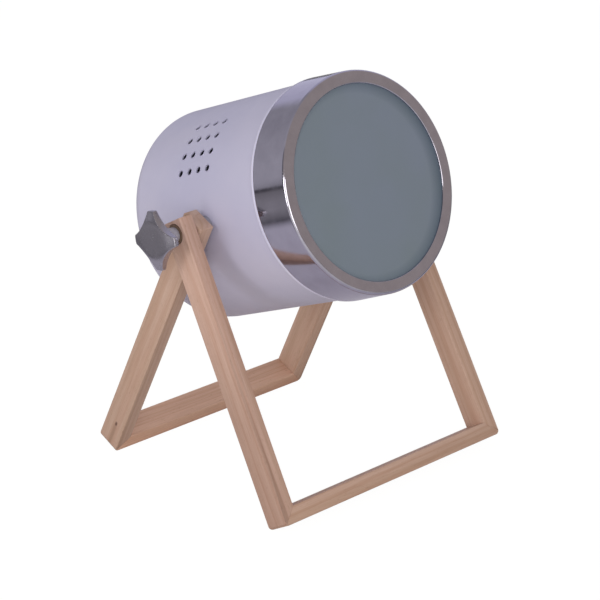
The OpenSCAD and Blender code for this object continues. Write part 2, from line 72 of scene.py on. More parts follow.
# %% [markdown]
# ## The camera
# The photograph was taken from the front left and a little above, with a long lens. The angles,
# the roll and the offset of the pivot from the middle of the picture were solved from outlines.

# %% Camera
AZIMUTH, ELEVATION, ROLL = (math.radians(v) for v in (-43.81, 20.22, 1.30))
FOCAL_PX, PICTURE_PX, DISTANCE, SENSOR = 2386, 600, 1744.7, 36
PIVOT_PX = (286.37, 199.34)

back = direction(AZIMUTH, ELEVATION)
level = Vector((math.cos(AZIMUTH), math.sin(AZIMUTH), 0))
upward = back.cross(level)
right = level * math.cos(ROLL) - upward * math.sin(ROLL)
up = level * math.sin(ROLL) + upward * math.cos(ROLL)
aside, above = (PIVOT_PX[0] - PICTURE_PX / 2) / FOCAL_PX, (PICTURE_PX / 2 - PIVOT_PX[1]) / FOCAL_PX
offset = Vector((aside, above, -1)) * DISTANCE * MM
place = PIVOT - (right * offset.x + up * offset.y + back * offset.z)

camera_data = bpy.data.cameras.new("camera")
camera_data.sensor_width = SENSOR
camera_data.lens = FOCAL_PX / PICTURE_PX * SENSOR
camera_data.clip_end = 20
camera = bpy.data.objects.new("camera", camera_data)
axes = Matrix((right, up, back)).transposed()
camera.matrix_world = Matrix.Translation(place) @ axes.to_4x4()
bpy.context.scene.collection.objects.link(camera)
bpy.context.scene.camera = camera
print("camera at", tuple(round(v, 3) for v in place), "lens", round(camera_data.lens, 1), "mm")

# %% [markdown]
# ## Helpers for materials
# A colour is written as it looks on a screen and turned to linear light by one function.
# One small function adds a node, sets its values and links what flows into it. Arithmetic and
# mixing build on it.

# %% Colour and node helpers


def linear(code):
    """A #rrggbb colour as linear RGBA."""
    parts = [int(code[i:i + 2], 16) / 255 for i in (1, 3, 5)]
    return [c / 12.92 if c <= 0.04045 else ((c + 0.055) / 1.055) ** 2.4 for c in parts] + [1]


def add(tree, kind, settings=None, **inputs):
    """Adds a node. An input takes a value, or an output of another node to link from."""
    node = tree.nodes.new(kind)
    for name, value in (settings or {}).items():
        setattr(node, name, value)
    for name, value in inputs.items():
        key = int(name[1:]) if name[0] == "i" and name[1:].isdigit() else name.replace("_", " ")
        socket = node.inputs[key]
        if isinstance(value, bpy.types.NodeSocket):
            tree.links.new(value, socket)
        else:
            socket.default_value = value
    return node


def calc(tree, operation, *values):
    """Arithmetic with numbers, each of them a value or an output."""
    given = {"i" + str(k): value for k, value in enumerate(values)}
    return add(tree, "ShaderNodeMath", {"operation": operation}, **given).outputs[0]


def calc_vector(tree, operation, *values):
    """Arithmetic with vectors. A length or a dot product comes out as a number."""
    given = {"i" + str(k): value for k, value in enumerate(values)}
    made = add(tree, "ShaderNodeVectorMath", {"operation": operation}, **given)
    return made.outputs["Value" if operation in ("LENGTH", "DOT_PRODUCT") else "Vector"]


def mix(tree, kind, share, first, second):
    """Mixes two colours with a blend kind."""
    settings = {"data_type": "RGBA", "blend_type": kind}
    return add(tree, "ShaderNodeMix", settings, i0=share, i6=first, i7=second).outputs[2]


def turned(tree, where, turn, shift=(0, 0, 0)):
    """A place turned, and then shifted."""
    settings = {"vector_type": "POINT"}
    return add(tree, "ShaderNodeMapping", settings, Vector=where, Rotation=turn, Location=shift).outputs[0]


print("helpers ready; mid grey in linear light is", round(linear("#808080")[0], 3))

# %% [markdown]
# Every finish is built from the same few steps: a Principled shader, a place in millimetres, noise
# of a real size, a colour ramp, and a bump of a real depth.

# %% Helpers for a finish


def new_material(name):
    """An empty material with a Principled shader already on its output."""
    material = bpy.data.materials.new(name)
    material.use_nodes = True
    tree = material.node_tree
    tree.nodes.clear()
    shader = add(tree, "ShaderNodeBsdfPrincipled")
    add(tree, "ShaderNodeOutputMaterial", Surface=shader.outputs[0])
    return material, tree, shader


def object_mm(tree):
    """Object coordinates in millimetres."""
    where = add(tree, "ShaderNodeTexCoord").outputs["Object"]
    return add(tree, "ShaderNodeVectorMath", {"operation": "SCALE"}, i0=where, Scale=1 / MM).outputs[0]


def noise(tree, where, size_mm, detail=2.0, rough=0.5):
    """Cloudy noise whose blobs are about size_mm across."""
    made = add(tree, "ShaderNodeTexNoise", Vector=where, Scale=1 / size_mm, Detail=detail, Roughness=rough)
    return made.outputs["Fac"]


def ramp(tree, fac, *stops):
    """A colour ramp through (position, hex colour) stops."""
    node = add(tree, "ShaderNodeValToRGB", Fac=fac)
    while len(node.color_ramp.elements) < len(stops):
        node.color_ramp.elements.new(0.5)
    for element, (position, code) in zip(node.color_ramp.elements, stops):
        element.position = position
        element.color = linear(code)
    return node.outputs[0]


def remap(tree, value, low, high, out_low, out_high):
    """Turns the range low..high into out_low..out_high and holds it there."""
    return add(tree, "ShaderNodeMapRange", Value=value, From_Min=low, From_Max=high,
               To_Min=out_low, To_Max=out_high).outputs[0]


def finish_shader(tree, shader, colour, roughness, height=None, depth_mm=0.1, **constants):
    """Links colour and roughness, adds a bump of a real depth, and sets constants on the shader."""
    tree.links.new(colour, shader.inputs["Base Color"])
    tree.links.new(roughness, shader.inputs["Roughness"])
    if height is not None:
        bump = add(tree, "ShaderNodeBump", Strength=1.0, Distance=depth_mm * MM, Height=height)
        tree.links.new(bump.outputs[0], shader.inputs["Normal"])
    for name, value in constants.items():
        shader.inputs[name.replace("_", " ")].default_value = value


print("finish helpers ready")

# %% [markdown]
# ## Enamel of the drum
# The drum is spun sheet steel under a satin stove enamel in a pale lavender white. Such paint
# shows a faint orange peel, a few millimetres from dimple to dimple, and a touch of yellowing
# and dust that vary slowly over it. The rolled rim gets a lighter copy of the enamel, a painted highlight.

# %% Stove enamel


def make_enamel(name, dark, light):
    """Satin paint whose colour drifts between two shades, with orange peel."""
    material, tree, shader = new_material(name)
    where = object_mm(tree)
    cloud = noise(tree, where, 45, 3)
    peel = noise(tree, where, 1.8, 1)
    colour = ramp(tree, cloud, (0.3, dark), (0.7, light))
    roughness = remap(tree, noise(tree, where, 12, 3), 0.3, 0.7, 0.40, 0.5)
    finish_shader(tree, shader, colour, roughness, peel, 0.02, Coat_Weight=0.08, Coat_Roughness=0.25,
                  IOR=1.5)
    return material


enamel = make_enamel("stove_enamel_lavender", "#b9b7d2", "#c0bdd5")
# The rolled rim's enamel is a lighter copy of the drum's: a painted highlight.
rim_enamel_painted_highlight = make_enamel("stove_enamel_rolled_rim_painted_highlight", "#cac8e2", "#d1cee5")
print(enamel.name, "and", rim_enamel_painted_highlight.name, "ready")

# %% [markdown]
# ## Chrome of the bezel
# Chrome plate over a spun and buffed ring. It mirrors the studio. The buffing leaves very low
# waves, a few millimetres long, and a faint haze that breaks the mirror up.

# %% Chrome plate


def make_chrome():
    """Bright plate with a faint haze."""
    material, tree, shader = new_material("chrome_plate_buffed")
    where = object_mm(tree)
    haze = noise(tree, where, 9, 4)
    colour = ramp(tree, haze, (0.3, "#b0adb7"), (0.7, "#b9b6c0"))
    roughness = remap(tree, haze, 0.3, 0.7, 0.07, 0.13)
    finish_shader(tree, shader, colour, roughness, noise(tree, where, 3, 2), 0.004, Metallic=1.0)
    return material


chrome = make_chrome()
print(chrome.name, "ready")

# %% [markdown]
# ## Frosted glass
# A flat pane, sand-blasted on its inside. It hides the bulb and shows a cool grey. A painted shadow
# of the bezel's lip darkens a soft margin towards the edge, wider on one side than on the other.

# %% Sand-blasted glass
LIP_SHADOW_START_R, LIP_SHADOW_FULL_R, LIP_SHADOW_ASIDE = 64.0, 76.0, 5.0


def make_frosted_glass():
    """Cool grey glass with a painted shadow of the bezel's lip: a darker margin towards the edge."""
    material, tree, shader = new_material("sand_blasted_glass")
    where = object_mm(tree)
    pane = turned(tree, calc_vector(tree, "SUBTRACT", where, PIVOT / MM), (HEAD_TILT - math.pi / 2, 0, 0))
    flat = calc_vector(tree, "MULTIPLY_ADD", pane, (1, 1, 0), (LIP_SHADOW_ASIDE, 0, 0))
    # Painted shadow of the bezel's lip: a dark margin towards the edge, set off centre so that it is wider on
    # one side.
    lip_shadow = remap(tree, calc_vector(tree, "LENGTH", flat), LIP_SHADOW_START_R, LIP_SHADOW_FULL_R, 0.0, 0.8)
    frost = ramp(tree, noise(tree, where, 60, 2), (0.3, "#7d8a96"), (0.7, "#818ca0"))
    colour = mix(tree, "MIX", lip_shadow, frost, linear("#485b6d"))
    roughness = remap(tree, noise(tree, where, 4, 3), 0.3, 0.7, 0.34, 0.44)
    finish_shader(tree, shader, colour, roughness, noise(tree, where, 0.7, 1), 0.01, IOR=1.5,
                  Transmission_Weight=0.1)
    return material


frosted = make_frosted_glass()
print(frosted.name, "ready")

# %% [markdown]
# ## Plain moulded and turned pieces
# One pattern serves the small pieces: a colour that varies by a few per cent, a roughness that
# varies with it, and a fine bump whose size and depth depend on how the surface was made.

# %% Small finishes


def make_plain(name, dark, light, rough, grain_mm, depth_mm, **constants):
    """A finish between two shades, of a middle roughness, with a bump of a size and a depth."""
    material, tree, shader = new_material(name)
    where = object_mm(tree)
    colour = ramp(tree, noise(tree, where, grain_mm * 8, 3), (0.3, dark), (0.7, light))
    roughness = remap(tree, noise(tree, where, grain_mm * 3, 2), 0.3, 0.7, rough - 0.05, rough + 0.05)
    finish_shader(tree, shader, colour, roughness, noise(tree, where, grain_mm, 1), depth_mm, **constants)
    return material


knob_grey = make_plain("metallic_grey_lacquer_on_die_cast_zinc", "#a3a0a8", "#a6a3ab", 0.24, 1.5, 0.0015,
                       Metallic=0.9, Coat_Weight=0.15, Coat_Roughness=0.1)
# A lighter copy of the knob's grey for the hub: painted light.
hub_painted_light = make_plain("knob_grey_lighter_on_hub_painted_light", "#adabbb", "#b4b2c1", 0.35, 0.8, 0.004, IOR=1.5)
rubber = make_plain("black_rubber_moulded", "#2a2a2f", "#34343a", 0.7, 1.0, 0.03, IOR=1.5)
# The spacers' collar takes the grey of the shadow that falls on the drum beside the rear leg's top: a painted
# shadow tone.
spacer_shadow_tone = make_plain("grey_rubber_painted_shadow_tone", "#8b8a98", "#9694a2", 0.7, 1.0, 0.03, IOR=1.5)
zinc = make_plain("zinc_plated_steel", "#8f9094", "#a5a6aa", 0.32, 0.6, 0.01, Metallic=1.0)
nylon = make_plain("grey_nylon_moulded", "#8b8b94", "#9797a0", 0.45, 1.2, 0.02, IOR=1.53)
brass = make_plain("turned_brass", "#b08d48", "#c8a35a", 0.3, 0.8, 0.01, Metallic=1.0)
phenolic = make_plain("white_phenolic_moulded", "#cfcbc0", "#dad6cb", 0.35, 1.5, 0.02, IOR=1.6)
bulb_metal = make_plain("aluminium_bulb_cap", "#a9a9ad", "#bcbcc0", 0.3, 1.0, 0.01, Metallic=1.0)
opal = make_plain("opal_glass", "#e6e5df", "#efeee9", 0.3, 2.0, 0.01, IOR=1.5, Transmission_Weight=0.2)
sleeve = make_plain("white_silicone_sleeve", "#d8d8d3", "#e2e2de", 0.4, 1.0, 0.02, IOR=1.41)
fibre = make_plain("brown_vulcanised_fibre", "#77604f", "#836b5a", 0.6, 0.8, 0.03, IOR=1.5)
print("small finishes ready")

# %% [markdown]
# ## Beech
# The frames are straight beech bars, planed, sanded and left bare. Beech is pale and pinkish
# with fine straight grain, short dark flecks about a millimetre long, and plain rings on its
# end grain. Each bar gets its own Mapping, so that its grain runs along the bar, and its own
# offset, so that no two bars are alike.

# %% Beech
RING_WIDTH, RING_WAVER = 6.5, 34.0


def add_knot(tree, colour, where, turn, spot, radius):
    """Paints a small dark knot at a place and the short streak that runs down the grain from it."""
    apart = turned(tree, calc_vector(tree, "SUBTRACT", where, spot), turn)
    eye = calc_vector(tree, "LENGTH", calc_vector(tree, "MULTIPLY", apart, (1, 1, 0.6)))
    across = calc_vector(tree, "LENGTH", calc_vector(tree, "MULTIPLY", apart, (1, 1, 0)))
    below = remap(tree, add(tree, "ShaderNodeSeparateXYZ", i0=apart).outputs[2], 0.0, 3.0, 0.0, 1.0)
    streak = calc(tree, "MULTIPLY", below, remap(tree, across, 0.6, 2.6, 0.55, 0.0))
    colour = mix(tree, "MIX", streak, colour, linear("#8f6c55"))
    return mix(tree, "MIX", remap(tree, eye, radius * 0.4, radius, 1.0, 0.0), colour, linear("#6b4a3c"))


def darken_face(tree, colour, where, face, low, high):
    """Darkens the face at x = face below the height low, and less and less up to high."""
    spot = add(tree, "ShaderNodeSeparateXYZ", i0=where).outputs
    outer, down = remap(tree, spot[0], face, face + 1, 1.0, 0.0), remap(tree, spot[2], low, high, 1.0, 0.0)
    return mix(tree, "MULTIPLY", calc(tree, "MULTIPLY", outer, down), colour, linear("#dfdbd7"))


def make_beech(name, along, seed, tone_and_light=(1, 1, 1), knot=None, darker_to_foot=None):
    """along is the bar's direction; the colour factor says how its wood differs in red, green and blue,
    and on the rear crossbar it is also painted light that lifts the bar out of its shade; knot is
    (place, radius); the face to darken is (x of the outer face, low, high) in mm, darker towards the foot."""
    material, tree, shader = new_material(name)
    where = object_mm(tree)
    turn = Vector(along).to_track_quat("Z", "Y").inverted().to_euler()
    bar = turned(tree, where, turn, (seed * 31.0, seed * 57.0, seed * 83.0))

    def grain(along_share, *size_and_detail):
        """Noise drawn out along the bar."""
        return noise(tree, calc_vector(tree, "MULTIPLY", bar, (1, 1, along_share)), *size_and_detail)

    part = add(tree, "ShaderNodeSeparateXYZ", i0=bar).outputs
    depth = calc(tree, "MULTIPLY_ADD", part[1], 0.35 + 0.1 * (seed % 3), part[0])
    depth = calc(tree, "MULTIPLY_ADD", grain(0.05, 22, 2), RING_WAVER, depth)
    ring = calc(tree, "SINE", calc(tree, "MULTIPLY", depth, 2 * math.pi / RING_WIDTH))
    fine = grain(0.03, 0.9, 3, 0.65)
    pores = ramp(tree, remap(tree, fine, 0.33, 0.67, 0.0, 1.0), (0.0, "#e2d6cd"), (1.0, "#ffffff"))
    base = ramp(tree, grain(0.02, 9, 2, 0.5), (0.32, "#c2a18d"), (0.5, "#c9a896"), (0.68, "#cfaf9e"))
    base = mix(tree, "MULTIPLY", remap(tree, ring, 0.0, 1.0, 0.0, 0.4), base, linear("#ead9cd"))
    base = mix(tree, "MULTIPLY", 0.5, base, pores)
    flecks = remap(tree, grain(0.12, 0.5, 1), 0.67, 0.76, 0.0, 0.7)
    colour = mix(tree, "MIX", flecks, base, linear("#a5816a"))
    if knot:
        colour = add_knot(tree, colour, where, turn, *knot)
    # One outer face gets darker towards the foot.
    if darker_to_foot:
        colour = darken_face(tree, colour, where, *darker_to_foot)
    colour = mix(tree, "MULTIPLY", 1.0, colour, [*tone_and_light, 1])
    finish_shader(tree, shader, colour, remap(tree, fine, 0.3, 0.7, 0.5, 0.64), fine, 0.03, IOR=1.5)
    return material


print("beech ready, its rings are", RING_WIDTH, "mm apart")

# %% [markdown]
# Bars from different planks differ a little in tone. The rear crossbar is lightened further, a painted
# light that lifts it out of its shade. One leg has a small knot near its foot, and the outer face of
# another gets darker towards its foot. The dowels are of the legs' wood.

# %% A beech for each bar
FRONT_SPLAY, REAR_SPLAY = 4.1, 3.2
legs = {"front_leg_left": (-1, -FRONT_SPLAY), "front_leg_right": (-1, FRONT_SPLAY),
        "rear_leg_left": (1, -REAR_SPLAY), "rear_leg_right": (1, REAR_SPLAY)}
# The front left leg's outer face gets darker towards its foot.
marks = {"front_leg_left": {"tone_and_light": (1.05, 1.04, 1.09), "darker_to_foot": (-108.0, 72.0, 160.0)},
         "rear_leg_left": {"tone_and_light": (0.96, 0.99, 1.02), "knot": ((-98.3, 91.2, 23.6), 1.6)},
         # The rear crossbar's factor is painted light: it lifts the bar out of its shade.
         "rear_crossbar": {"tone_and_light": (1.18, 1.13, 1.09)}}
beech = {}
for seed, name in enumerate([*legs, "front_crossbar", "rear_crossbar"], 1):
    along = (1, 0, 0)
    if name in legs:
        lay, splay = legs[name]
        along = (splay / LEG_LEN, lay * math.sin(LEG_LEAN), -math.cos(LEG_LEAN))
    beech[name] = make_beech("beech_sanded_" + name, along, seed, **marks.get(name, {}))
beech["front_dowels"] = beech["front_leg_left"]
beech["rear_dowels"] = beech["rear_leg_left"]
print("beech bars:", len(beech))

# %% [markdown]
# ## Turning and placing a mesh
# Most pieces of the lamp are turned or spun: one half section goes round an axis. A closed section
# swept round a circle by Geometry Nodes gives such a ring, and the tree has named inputs for its
# sizes. A plain mesh is taken from the result, so that the export sees every face.

# %% Helpers that place a finished mesh


def place_mesh(name, data, matrix, material, body, slot, *stands_for, crease=40):
    """Puts a mesh in its place in the lamp, smooth up to the crease angle, and lets it ride."""
    data.transform(matrix)
    work = bmesh.new()
    work.from_mesh(data)
    bmesh.ops.recalc_face_normals(work, faces=work.faces)
    work.to_mesh(data)
    work.free()
    data.name = name
    data.materials.clear()
    data.materials.append(material)
    data.polygons.foreach_set("use_smooth", [True] * len(data.polygons))
    data.set_sharp_from_angle(angle=math.radians(crease))
    piece = bpy.data.objects.new(name, data)
    bpy.context.scene.collection.objects.link(piece)
    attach(piece, body)
    if stands_for:
        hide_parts(*stands_for)
    print(name, len(data.polygons), "faces, rides on", body)


def evaluate(tree, base=None, **values):
    """Runs a geometry tree on a mesh and returns the result as a plain mesh."""
    carrier = bpy.data.objects.new("carrier", base or bpy.data.meshes.new("empty"))
    bpy.context.scene.collection.objects.link(carrier)
    modifier = carrier.modifiers.new("tree", "NODES")
    modifier.node_group = tree
    for item in tree.interface.items_tree:
        if item.item_type == "SOCKET" and item.in_out == "INPUT" and item.name in values:
            modifier[item.identifier] = values[item.name]
    bpy.context.view_layer.update()
    made = bpy.data.meshes.new_from_object(carrier.evaluated_get(bpy.context.evaluated_depsgraph_get()))
    carrier.modifiers.clear()
    bpy.data.objects.remove(carrier)
    return made


print("placing ready")

# %% [markdown]
# Every geometry tree starts with named inputs and ends with real faces and a material.

# %% Start and end of a geometry tree


def new_tree(name, *inputs):
    """A geometry tree with a geometry output and named inputs, each (name, kind, value)."""
    tree = bpy.data.node_groups.new(name, "GeometryNodeTree")
    tree.interface.new_socket("Geometry", in_out="INPUT", socket_type="NodeSocketGeometry")
    for label, kind, value in inputs:
        socket = tree.interface.new_socket(label, in_out="INPUT", socket_type="NodeSocket" + kind)
        if value is not None:
            socket.default_value = value
    tree.interface.new_socket("Geometry", in_out="OUTPUT", socket_type="NodeSocketGeometry")
    return tree, tree.nodes.new("NodeGroupInput").outputs


def end_tree(tree, geometry, material):
    """Realize Instances, Set Material and the output."""
    real = add(tree, "GeometryNodeRealizeInstances", i0=geometry).outputs[0]
    painted = add(tree, "GeometryNodeSetMaterial", i0=real)
    painted.inputs["Material"].default_value = material
    tree.links.new(painted.outputs[0], tree.nodes.new("NodeGroupOutput").inputs[0])
    return tree


print("tree helpers ready")

# %% [markdown]
# ## The ring tree
# The section lies in the XY plane: X is the distance from the axis, Y the height turned upside
# down, because Curve to Mesh puts the section's Y towards the ring's own minus Z.

# %% Sweep a section round a circle


def swept_ring(tree, given):
    """The nodes that sweep the tree's own geometry, a closed outline, round a circle."""
    circle = add(tree, "GeometryNodeCurvePrimitiveCircle", Radius=given["Path radius"],
                 Resolution=given["Segments"]).outputs[0]
    upright = add(tree, "GeometryNodeSetCurveNormal", {"mode": "Z_UP"}, i0=circle).outputs[0]
    profile = add(tree, "GeometryNodeMeshToCurve", i0=given["Geometry"]).outputs[0]
    return add(tree, "GeometryNodeCurveToMesh", Curve=upright, Profile_Curve=profile).outputs[0]


def section_mesh(section, path_radius):
    """A closed outline from a half section, a list of (radius, height) in millimetres."""
    base, count = bpy.data.meshes.new("section"), len(section)
    points = [((r - path_radius) * MM, -z * MM, 0) for r, z in section]
    base.from_pydata(points, [(i, (i + 1) % count) for i in range(count)], [])
    return base


def turned_ring(section, material, segments=240):
    """A ring from a closed half section in millimetres."""
    inner = max(10, min(r for r, z in section))
    tree, given = new_tree("turned_ring", ("Path radius", "Float", 0.05), ("Segments", "Int", 64))
    end_tree(tree, swept_ring(tree, given), material)
    sizes = {"Path radius": inner * MM, "Segments": segments}
    return evaluate(tree, section_mesh(section, inner), **sizes)


def arc(r, z, radius, start, end, steps=8):
    """Points of an arc of a half section, in degrees from the outward direction."""
    turns = [math.radians(start + (end - start) * k / steps) for k in range(steps + 1)]
    return [(r + radius * math.cos(a), z + radius * math.sin(a)) for a in turns]


print("ring tree ready")

# %% [markdown]
# ## Bezel
# The bezel is spun from sheet: a band that widens by a millimetre to the rear, a tight rounded corner
# that catches a thin bright line of light, and a front ring that dips very slightly inside it and whose
# inner edge is rolled over the glass.

# %% Bezel
BEZEL_R, BEZEL_REAR, BEZEL_FRONT, BEZEL_HOLE = 79.985, 60.25, 92.48, 70.3
FLARE, BAND_LEN, CORNER, ROLL_R = 1.0, 29.57, 2.4, 0.9
band_rear = BEZEL_REAR + 0.25
bezel_section = (
    [(BEZEL_R - 0.9, BEZEL_REAR), (BEZEL_R + FLARE - 0.25, BEZEL_REAR), (BEZEL_R + FLARE, band_rear)]
    + [(BEZEL_R + FLARE * (1 - share), band_rear + BAND_LEN * share)
       for share in (0.02, 0.25, 0.5, 0.75, 0.98)]
    + arc(BEZEL_R - CORNER, BEZEL_FRONT - CORNER, CORNER, 0, 90, 14)
    + [(77.0, 92.46), (76.3, 92.4), (75.5, 92.32), (74.7, 92.26), (73.8, 92.22), (72.8, 92.22),
       (71.7, 92.22)]
    + arc(BEZEL_HOLE + ROLL_R, 91.32, ROLL_R, 90, 180, 6)
    + [(BEZEL_HOLE + 0.1, 90.8), (BEZEL_HOLE + 0.8, 90.8), (71.4, 91.3), (77.2, 91.4),
       (BEZEL_R - 0.9, 89.6)]
)
place_mesh("bezel_spun", turned_ring(bezel_section, chrome, 288), head_axes, chrome, "head",
           "chrome_plate", "bezel_ring", crease=50)

# %% [markdown]
# ## Drum
# The drum is spun from sheet in one piece: a flat back, a round shoulder, a long side, a front
# edge where the enamel ends, and a neck that goes under the bezel. Its vents are punched
# afterwards. The same order is followed here: the section is swept, then a grid of round punches is
# bent round the drum and cut away from it. The grid's inputs are the sizes that a maker would give.

# %% Punches on a bent grid
VENT_INPUTS = (
    ("Columns", "Int", 4), ("Rows", "Int", 4), ("Pitch along", "Float", 0.0102),
    ("Pitch round", "Float", 0.0132), ("Drum radius", "Float", 0.079), ("Hole radius", "Float", 0.0024),
    ("Middle back", "Float", 0.010), ("Middle angle", "Float", math.radians(43.7)))


def bent_grid(tree, given):
    """Points of the vents on both sides of the drum, and the rotation that faces outwards there."""
    width = calc(tree, "MULTIPLY", given["Pitch along"], calc(tree, "SUBTRACT", given["Columns"], 1))
    height = calc(tree, "MULTIPLY", given["Pitch round"], calc(tree, "SUBTRACT", given["Rows"], 1))
    grid = add(tree, "GeometryNodeMeshGrid", Size_X=width, Size_Y=height, Vertices_X=given["Columns"],
               Vertices_Y=given["Rows"]).outputs[0]
    spot = add(tree, "ShaderNodeSeparateXYZ", i0=add(tree, "GeometryNodeInputPosition").outputs[0]).outputs
    turn = calc(tree, "ADD", given["Middle angle"], calc(tree, "DIVIDE", spot[1], given["Drum radius"]))
    across = calc(tree, "MULTIPLY", given["Drum radius"], calc(tree, "COSINE", turn))
    upwards = calc(tree, "MULTIPLY", given["Drum radius"], calc(tree, "SINE", turn))
    along = calc(tree, "SUBTRACT", spot[0], given["Middle back"])
    both = add(tree, "GeometryNodeJoinGeometry")
    for side in (1, -1):
        aside = calc(tree, "MULTIPLY", across, side)
        bent = add(tree, "ShaderNodeCombineXYZ", i0=aside, i1=upwards, i2=along).outputs[0]
        moved = add(tree, "GeometryNodeSetPosition", Geometry=grid, Position=bent).outputs[0]
        tree.links.new(moved, both.inputs[0])
    outwards = calc_vector(tree, "MULTIPLY", add(tree, "GeometryNodeInputPosition").outputs[0], (1, 1, 0))
    facing = add(tree, "FunctionNodeAlignRotationToVector", {"axis": "Z"}, Vector=outwards).outputs[0]
    return both.outputs[0], facing


def stand_on(tree, points, instance, facing):
    """One copy of a shape on every point, turned outwards."""
    return add(tree, "GeometryNodeInstanceOnPoints", Points=points, Instance=instance,
               Rotation=facing).outputs[0]


print("vents on each side:", VENT_INPUTS[0][2] * VENT_INPUTS[1][2])

# %% [markdown]
# Each vent is cut by a round punch on a point of the grid. The single holes have cutters of their own.

# %% Sweep and punch


def punched_drum(section, holes, material):
    """Sweeps the section and cuts the vents and the single holes, each (place, turn, radius) in mm."""
    path_radius, punch_len = 10, 0.012
    tree, given = new_tree("punched_drum", ("Path radius", "Float", path_radius * MM),
                           ("Segments", "Int", 256), *VENT_INPUTS)
    swept = swept_ring(tree, given)
    points, facing = bent_grid(tree, given)
    punch = add(tree, "GeometryNodeMeshCylinder", Vertices=32, Radius=given["Hole radius"], Depth=punch_len)
    punches = stand_on(tree, points, punch.outputs[0], facing)
    cutters = add(tree, "GeometryNodeJoinGeometry")
    tree.links.new(add(tree, "GeometryNodeRealizeInstances", i0=punches).outputs[0], cutters.inputs[0])
    for spot, turn, radius in holes:
        bore = add(tree, "GeometryNodeMeshCylinder", Vertices=40, Radius=radius * MM, Depth=punch_len)
        moved = add(tree, "GeometryNodeTransform", Geometry=bore.outputs[0], Translation=Vector(spot) * MM,
                    Rotation=turn)
        tree.links.new(moved.outputs[0], cutters.inputs[0])
    cut = add(tree, "GeometryNodeMeshBoolean", {"operation": "DIFFERENCE", "solver": "EXACT"}, i0=swept,
              i1=cutters.outputs[0]).outputs[0]
    return evaluate(end_tree(tree, cut, material), section_mesh(section, path_radius))


print("punching ready")

# %% [markdown]
# The half section runs from the middle of the back outwards, along the side to the neck, and back
# inside. The shoulder is rounder than in the CAD model, as the photograph's outline asks. The single
# holes are for the two studs, the bracket's screws and the cord.

# %% Drum
DRUM_R, DRUM_REAR, SHOULDER, SHEET = 79.0, -86.6, 14.0, 1.0
drum_section = (
    [(r, DRUM_REAR) for r in (0.02, 8, 18, 30, 42, 54, 63)]
    + arc(DRUM_R - SHOULDER, DRUM_REAR + SHOULDER, SHOULDER, -90, 0, 20)
    + [(DRUM_R, z) for z in range(-66, 54, 6)]
    + [(DRUM_R, 56.0), (DRUM_R, 59.4), (78.7, 59.8), (77.85, 59.9), (77.85, 66), (77.85, 71), (76.85, 71)]
    + [(76.85, 59), (DRUM_R - SHEET, 59)]
    + [(DRUM_R - SHEET, z) for z in range(54, -71, -8)]
    + arc(DRUM_R - SHOULDER, DRUM_REAR + SHOULDER, SHOULDER - SHEET, 0, -90, 12)
    + [(r, DRUM_REAR + SHEET) for r in (54, 30, 8, 0.02)]
)
side_on, rear_on = (0, math.pi / 2, 0), (0, 0, 0)
drum_holes = [((78, 0, 0), side_on, 4.95), ((-78, 0, 0), side_on, 4.95), ((30, 0, -86), rear_on, 2.0),
              ((-30, 0, -86), rear_on, 2.0), ((0, -44, -86), rear_on, 5.8), ((25.5, -42, -86), rear_on, 2.0)]
place_mesh("drum_spun", punched_drum(drum_section, drum_holes, enamel), head_axes, enamel, "head",
           "white_enamel", "drum_shell", crease=35)

# %% [markdown]
# The drum's front edge is rolled over a wire. The roll is a ring of its own here, because it carries
# a lighter copy of the enamel, a painted highlight.

# %% Rolled rim of the drum
rim_section = [(78.6, 55.9), (79.02, 55.7), (79.3, 55.85), (79.75, 56.4), (80.3, 57.0), (80.8, 57.7),
               (81.05, 58.5), (81.05, 59.2), (80.8, 59.75), (80.3, 60.1), (79.6, 60.15), (78.6, 60.15)]
place_mesh("drum_rim", turned_ring(rim_section, rim_enamel_painted_highlight, 256), head_axes, rim_enamel_painted_highlight, "head",
           "white_enamel", crease=60)

# %% [markdown]
# A punch draws the sheet in a little, so that each vent gets a soft rounded edge. One small ring
# stands on every point of the same grid.

# %% Drawn edges of the vents


def vent_edges(material):
    """Thin rings round the vents, just outside the holes."""
    tree, given = new_tree("vent_edges", ("Edge radius", "Float", 0.00025), *VENT_INPUTS)
    points, facing = bent_grid(tree, given)
    wide = calc(tree, "ADD", given["Hole radius"], given["Edge radius"])
    hole = add(tree, "GeometryNodeCurvePrimitiveCircle", Radius=wide, Resolution=28).outputs[0]
    wire = add(tree, "GeometryNodeCurvePrimitiveCircle", Radius=given["Edge radius"], Resolution=8).outputs[0]
    edge = add(tree, "GeometryNodeCurveToMesh", Curve=hole, Profile_Curve=wire).outputs[0]
    return evaluate(end_tree(tree, stand_on(tree, points, edge, facing), material))


place_mesh("vent_edges", vent_edges(enamel), head_axes, enamel, "head", "white_enamel", crease=60)

# %% [markdown]
# ## Star knobs
# Each knob is cast in zinc and lacquered a half-gloss metallic grey: a thin disc with four lobes and
# large round bites between them, whose flat face falls away a little towards the lobes' ends, on a
# hub that flares into the disc. Its outline is one radius for each angle.

# %% Outline of the star
KNOB_R, WAIST_R, LOBE_END, KNOB_TURN = 21.5, 14.4, 6.5, math.radians(-10)
KNOB_LEN, FACE_DROP, FACE_BEND, LOBE_T, KNOB_BASE, FLAT_R = 21.0, 2.4, 2.5, 3.4, 108.7, 12.8
back_profile = ((5.2, 0.0), (5.5, 3.0), (6.1, 6.0), (6.8, 8.5), (7.7, 11.0), (9.0, 13.2), (11.0, 14.4),
                (KNOB_R, KNOB_LEN - FACE_DROP - LOBE_T))


